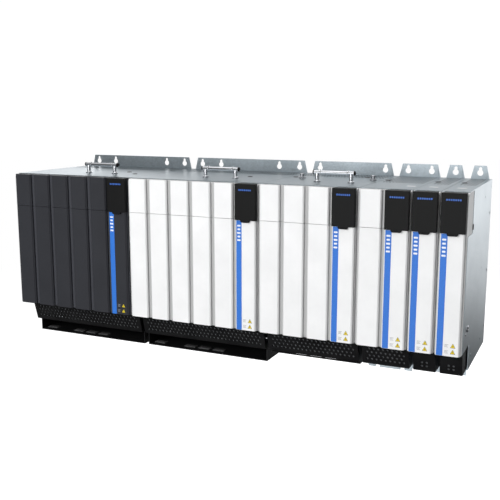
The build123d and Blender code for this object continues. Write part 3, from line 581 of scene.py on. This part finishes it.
def handle_fittings(m):
    """Rings, caps, weld beads, collars and stop blocks of one lifting handle."""
    chrome, black = MATERIALS["chrome"], MATERIALS["black_plastic"]
    ring = millimetres((4.3, -1.6), (5.3, -1.1), (5.6, 0), (5.3, 1.1), (4.3, 1.6))
    cap = millimetres((4.2, 0), (4.5, 0.3), (4.5, 1.8), (3.4, 2.8), (0, 3.1))
    weld = millimetres((4.0, 4.6), (4.5, 3.2), (5.6, 2.2), (6.2, 2.0))
    collar = millimetres((4.0, -8.2), (4.9, -7.4), (4.9, -5.4), (4.1, -4.6))
    for i, side in enumerate((-1, 1)):
        end = f"{m.number}_{i}"
        x = m.middle + HANDLE_SHIFT + side * POST_OFFSET
        lathe(f"grip_ring_{end}", ring, (x - side * 6.5 * MM, HANDLE_Y, GRIP_Z), (1, 0, 0), chrome)
        lathe(f"grip_cap_{end}", cap, (x + side * 6 * MM, HANDLE_Y, GRIP_Z), (side, 0, 0), black)
        lathe(f"post_weld_{end}", weld, (x, HANDLE_Y, BODY_TOP), UP, chrome)
        lathe(f"post_collar_{end}", collar, (x, HANDLE_Y, GRIP_Z), UP, chrome)
        stop_x = x + side * 1.5 * MM
        low = (stop_x - 4.5 * MM, HANDLE_Y + 3.4 * MM, GRIP_Z - 2.6 * MM)
        high = (stop_x + 4.5 * MM, HANDLE_Y + 11.5 * MM, GRIP_Z + 3.4 * MM)
        slab(f"grip_stop_{end}", low, high, black, edge=1.2 * MM, segments=3)


def tray_shade_pads(m):
    """Ribbed dark rubber pads clipped into the slots of a cable tray: painted shade, dark pieces where the
    slots would show only shade.
    """
    for i, start in enumerate(TRAY_SLOT_STARTS):
        x = m.left + start * MM
        low = (x - SHADE_PAD_LIP, TRAY_SHADE_PAD_Y - SHADE_PAD_LIP, TRAY_FLOOR)
        high = (x + TRAY_SLOT_WIDTH + SHADE_PAD_LIP, TRAY_SHADE_PAD_Y + 14 * MM + SHADE_PAD_LIP, TRAY_FLOOR + 1.6 * MM)
        pad = slab(f"tray_shade_pad_{m.number}_{i}", low, high, RUBBER, edge=0.6 * MM)
        for j in range(4):
            rib_x = x + (4 + j * 5.3) * MM
            low = (rib_x, TRAY_SHADE_PAD_Y + 1 * MM, TRAY_FLOOR + 1.2 * MM)
            high = (rib_x + 1.6 * MM, TRAY_SHADE_PAD_Y + 13 * MM, TRAY_FLOOR + 2.4 * MM)
            slab(f"tray_rib_{m.number}_{i}_{j}", low, high, RUBBER, edge=0.5 * MM)


def vent_shade_sheet(m):
    """A dark sheet in the slots of a top plate: painted shade that makes the vents look dark."""
    reach = (90 if m.number < 4 else 166) * MM
    low = (m.left + 5 * MM, -reach, BODY_TOP - 1.2 * MM)
    high = (m.right - 5 * MM, -6 * MM, BODY_TOP - 0.4 * MM)
    name = f"vent_shade_sheet_{m.number}"
    # Painted shade: a dark sheet raised into the vent slots where only shade would show.
    shade_sheet = slab(name, low, high, MATERIALS["black_sheet"], edge=0.1 * MM, segments=1)


def shield_plate(m):
    """A zinc plate for cable screens, hung on the lip below a body, notched round its screws."""
    left, right = m.left + 6 * MM, m.right - 6 * MM
    top, notch, foot = -2 * MM, -11 * MM, -16.5 * MM
    outline = [(left, top), (left, foot)]
    for screw in (m.left + COLUMN / 2, m.right - COLUMN / 2):
        near, far = screw - 3.7 * MM, screw + 3.7 * MM
        outline += [(near, foot), (near, notch), (far, notch), (far, foot)]
    outline += [(right, foot), (right, top)]
    name = f"shield_plate_{m.number}"
    plate = plate_y(name, outline, LEDGE_BACK_Y, 1.5 * MM, MATERIALS["zinc_sheet"], edge=0.2 * MM)


def ledge_pads(m):
    """Rubber pads over the windows of the ledge below a guard."""
    for i in range(3):
        x = m.middle + (i - 1) * 32 * MM
        low, high = (x - 14 * MM, -225.5 * MM, -6 * MM), (x + 14 * MM, -209.5 * MM, -4.6 * MM)
        pad = slab(f"ledge_pad_{i}", low, high, RUBBER, edge=0.5 * MM)


# Middles of the details on the tops, x and y in millimetres
TOP_PLUGS = ((-283, -156), (-242, -196), (21, -155), (113, -122), (256, -75), (311, -116),
             (411, -114), (462, -114))
TOP_PLATES = ((382, -219), (424, -219), (475, -218))
STUDS = ((134, -139), (283, -127))


def top_details():
    """Plugs, plates and stud crowns on the tops of the bodies."""
    plug = millimetres((5.4, 0), (5.4, 0.5), (4.6, 1.0), (2.9, 1.1), (2.3, 0.6), (0, 0.5))
    for i, (x, y) in enumerate(TOP_PLUGS):
        lathe(f"top_plug_{i}", plug, (x * MM, y * MM, BODY_TOP), UP, RUBBER)
    for i, (x, y) in enumerate(TOP_PLATES):
        low = (x * MM - 8 * MM, y * MM - 4 * MM, BODY_TOP)
        high = (x * MM + 8 * MM, y * MM + 4 * MM, BODY_TOP + 0.5 * MM)
        slab(f"top_plate_{i}", low, high, MATERIALS["white_plastic"], edge=0.25 * MM)
    crown = millimetres((7.6, 0), (7.6, 1.6), (5.4, 2.6), (4.4, 3.6), (4.3, 6.6), (5.2, 7.2), (5.2, 9.4),
                        (4.2, 10.2), (2.2, 10.3), (1.9, 9.3), (0, 9.2))
    for i, (x, y) in enumerate(STUDS):
        place = (x * MM, y * MM, BODY_TOP)
        lathe(f"stud_crown_{i}", crown, place, UP, MATERIALS["steel"], steps=12)


# Rivets on the outer side plates, y and z in millimetres
SIDE_RIVETS = ((-12, 40), (-12, 160), (-12, 280), (-180, 24), (-60, 24))


def side_details():
    """Screws, a latch and rivets on each of the two outer side plates."""
    rivet = millimetres((2.6, 0), (2.5, 0.4), (1.7, 0.9), (0, 1.05))
    sides = (("right", MODULES[-1].right - BODY_GAP, 1), ("left", MODULES[0].left + BODY_GAP, -1))
    for name, x, out in sides:
        axis = (out, 0, 0)
        pan_head(f"clamp_screw_{name}", (x, -238 * MM, 91 * MM), axis, 6.6 * MM, 2.6 * MM)
        pan_head(f"side_screw_{name}", (x, -253 * MM, 83 * MM), axis, 2.2 * MM, 1.2 * MM)
        low = (x - 0.9 * MM, -229.3 * MM, 274.4 * MM)
        high = (x + 0.9 * MM, -224.8 * MM, 284.6 * MM)
        slab(f"side_latch_{name}", low, high, MATERIALS["black_plastic"], edge=0.5 * MM)
        for i, (y, z) in enumerate(SIDE_RIVETS):
            place = (x, y * MM, z * MM)
            lathe(f"side_rivet_{name}_{i}", rivet, place, axis, MATERIALS["zinc_sheet"], steps=16)


def guard_screws():
    """Three screws on the sloping guards, and one between the second and the third guard."""
    radius, height = 2.4 * MM, 1.6 * MM
    for i, x in enumerate((-429, -421, -129)):
        z = 12 * MM
        pan_head(f"guard_screw_{i}", (x * MM, guard_face(z), z), (0, -1, -0.26), radius, height)
    pan_head("guard_screw_3", (98.5 * MM, -240 * MM, 24 * MM), FORWARD, radius, height)


def fan_details(m):
    """A rubber cap under the hub of a fan's frame, and a steel one on top of its rotor."""
    low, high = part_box(f"fan_frame_{m.number}")
    below = ((low.x + high.x) / 2, (low.y + high.y) / 2, low.z)
    hub = (high.x - low.x) * 0.2
    cap = [(hub * 0.93, 0), (hub * 0.9, 0.5 * MM), (hub * 0.62, 0.6 * MM), (hub * 0.58, 0.25 * MM),
           (0, 0.2 * MM)]
    lathe(f"fan_hub_cap_{m.number}", cap, below, DOWN, RUBBER, steps=40)
    low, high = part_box(f"fan_rotor_{m.number}")
    above = ((low.x + high.x) / 2, (low.y + high.y) / 2, high.z)
    cap = [(hub * 0.96, 0), (hub * 0.92, 0.5 * MM), (hub * 0.5, 0.7 * MM), (hub * 0.44, 0.3 * MM),
           (0, 0.25 * MM)]
    steel = MATERIALS["steel"]
    lathe(f"fan_rotor_cap_{m.number}", cap, above, UP, steel, f"fan_{m.number}", steps=40)


def capacitor_tops():
    """Rimmed aluminium ends of the bus capacitors."""
    low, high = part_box("bus_capacitors")
    end = millimetres((15.0, 0), (15.2, 0.6), (14.2, 1.1), (13.4, 0.5), (0, 0.45))
    for m in MODULES:
        for i in range(round(m.width / COLUMN)):
            x = m.left + (i + 0.5) * COLUMN
            z = low.z + CAPACITOR_MARGIN
            row = 0
            while z < high.z - 10 * MM:
                name = f"capacitor_rim_{m.number}_{i}_{row}"
                lathe(name, end, (x, low.y, z), FORWARD, MATERIALS["aluminium"], steps=28)
                row += 1
                z += CAPACITOR_PITCH


# ---------------------------------------------------------------- stage

FLOOR_DROP = 0.42
FADE = (0.9, 3.2)  # distances from the middle of the floor over which it turns white


def area_light(name, place, target, size, power, glossy=True):
    """A rectangular lamp that faces target, and is seen in reflections if glossy."""
    data = bpy.data.lights.new(name, "AREA")
    data.shape = "RECTANGLE"
    data.size, data.size_y = size
    data.energy = power
    light = bpy.data.objects.new(name, data)
    bpy.context.scene.collection.objects.link(light)
    light.location = place
    light.rotation_euler = (Vector(target) - Vector(place)).to_track_quat("-Z", "Y").to_euler()
    light.visible_glossy = glossy


def make_floor():
    """A pale floor that fades into the white backdrop."""
    bm = bmesh.new()
    bmesh.ops.create_circle(bm, cap_ends=True, segments=96, radius=14)
    bmesh.ops.translate(bm, vec=(0, 0, CAD_BOX[0].z - FLOOR_DROP), verts=bm.verts)
    floor = bpy.data.objects.new("floor", mesh_from(bm, "floor"))
    bpy.context.scene.collection.objects.link(floor)
    material, tree, shader = new_material("floor")
    tone = ramp(tree, noise(tree, 3, 2), [(0.3, (0.90, 0.90, 0.90)), (0.7, (0.92, 0.92, 0.92))])
    tree.links.new(tone, shader.inputs["Base Color"])
    shader.inputs["Roughness"].default_value = 0.9
    shader.inputs["Emission Color"].default_value = (1, 1, 1, 1)
    shader.inputs["Emission Strength"].default_value = 0.55
    backdrop = tree.nodes.new("ShaderNodeEmission")
    distance = tree.nodes.new("ShaderNodeVectorMath")
    distance.operation = "LENGTH"
    tree.links.new(coordinates(tree), distance.inputs[0])
    fade = tree.nodes.new("ShaderNodeMapRange")
    fade.interpolation_type = "SMOOTHSTEP"
    fade.inputs["From Min"].default_value = FADE[0]
    fade.inputs["From Max"].default_value = FADE[1]
    tree.links.new(distance.outputs["Value"], fade.inputs["Value"])
    mix = tree.nodes.new("ShaderNodeMixShader")
    tree.links.new(fade.outputs["Result"], mix.inputs[0])
    tree.links.new(shader.outputs[0], mix.inputs[1])
    tree.links.new(backdrop.outputs[0], mix.inputs[2])
    output = next(n for n in tree.nodes if n.type == "OUTPUT_MATERIAL")
    tree.links.new(mix.outputs[0], output.inputs["Surface"])
    floor.data.materials.append(material)
    floor.visible_glossy = False
    floor.visible_diffuse = False


AMBIENT = 0.09
BACKDROP = 1.06  # what the camera sees behind the floor

# Bright zones of the studio: direction, the cosines where a zone starts and is full, and strength
ZONES = (
    ((0, 0, 1), 0.25, 0.95, 0.75),  # overhead
    ((-0.70, 0.71, 0.07), 0.95, 0.985, 1.7),  # far left, behind
    ((-0.25, 0.96, 0.09), 0.88, 0.98, 0.66),  # behind, over the tops
    ((0.20, 0.97, 0.05), 0.933, 0.985, 1.6),  # behind, to the right
    ((-0.12, -0.99, -0.07), 0.935, 0.985, 2.9),  # in front
)


def make_world():
    """White behind the object, and a studio of soft bright and dark zones for what it reflects."""
    world = bpy.data.worlds.new("studio")
    bpy.context.scene.world = world
    world.use_nodes = True
    tree = world.node_tree
    source = tree.nodes.new("ShaderNodeTexCoord")
    level = None
    for direction, start, end, strength in ZONES:
        dot = tree.nodes.new("ShaderNodeVectorMath")
        dot.operation = "DOT_PRODUCT"
        dot.inputs[1].default_value = Vector(direction).normalized()
        tree.links.new(source.outputs["Generated"], dot.inputs[0])
        zone = tree.nodes.new("ShaderNodeMapRange")
        zone.interpolation_type = "SMOOTHSTEP"
        zone.inputs["From Min"].default_value = start
        zone.inputs["From Max"].default_value = end
        zone.inputs["To Max"].default_value = strength
        tree.links.new(dot.outputs["Value"], zone.inputs["Value"])
        total = tree.nodes.new("ShaderNodeMath")
        total.inputs[0].default_value = AMBIENT
        if level is not None:
            tree.links.new(level, total.inputs[0])
        tree.links.new(zone.outputs["Result"], total.inputs[1])
        level = total.outputs[0]
    path = tree.nodes.new("ShaderNodeLightPath")
    seen = tree.nodes.new("ShaderNodeMix")
    seen.inputs["B"].default_value = BACKDROP
    tree.links.new(path.outputs["Is Camera Ray"], seen.inputs["Factor"])
    tree.links.new(level, seen.inputs["A"])
    background = tree.nodes["Background"]
    background.inputs["Color"].default_value = (0.97, 0.985, 1, 1)
    tree.links.new(seen.outputs["Result"], background.inputs["Strength"])


def make_lights():
    """A key in front, a soft top, and fills from behind and from the right."""
    area_light("key_softbox", (-0.75, -2.8, 0.95), (0, -0.3, 0.18), (1.4, 1.0), 58.5, glossy=False)
    area_light("top_softbox", (0.1, -0.6, 2.2), (0, -0.15, 0.2), (2.4, 1.2), 10)
    area_light("back_fill", (0.3, 2.6, 0.9), (0, 0, 0.15), (2.4, 1.2), 26, glossy=False)
    area_light("right_fill", (2.7, -1.2, 0.7), (0.4, -0.2, 0.2), (1.4, 1.2), 11, glossy=False)


def make_camera():
    """A viewpoint to the right and slightly above, turned to the left."""
    data = bpy.data.cameras.new("camera")
    data.lens = 55.87
    data.sensor_width = 36
    data.clip_end = 60
    camera = bpy.data.objects.new("camera", data)
    bpy.context.scene.collection.objects.link(camera)
    camera.location = (0.710756, -1.663248, 0.489425)
    down, left = math.radians(10.267), math.radians(24.583)
    camera.rotation_euler = Euler((math.pi / 2 - down, 0, left))
    bpy.context.scene.camera = camera


dress_nodes()
for module in MODULES:
    print_marks(module)
    keypad_mark(module)
    guard_liner(module)
    fan_details(module)
    vent_shade_sheet(module)
for module in MODULES[:3]:
    handle_fittings(module)
# Dark pads in the tray slots of the first two modules, as painted shade.
for module in MODULES[:2]:
    tray_shade_pads(module)
ledge_pads(MODULES[2])
shield_plate(MODULES[3])
top_details()
side_details()
guard_screws()
capacitor_tops()
make_floor()
make_world()
make_lights()
make_camera()
bpy.context.scene.view_settings.view_transform = "Standard"
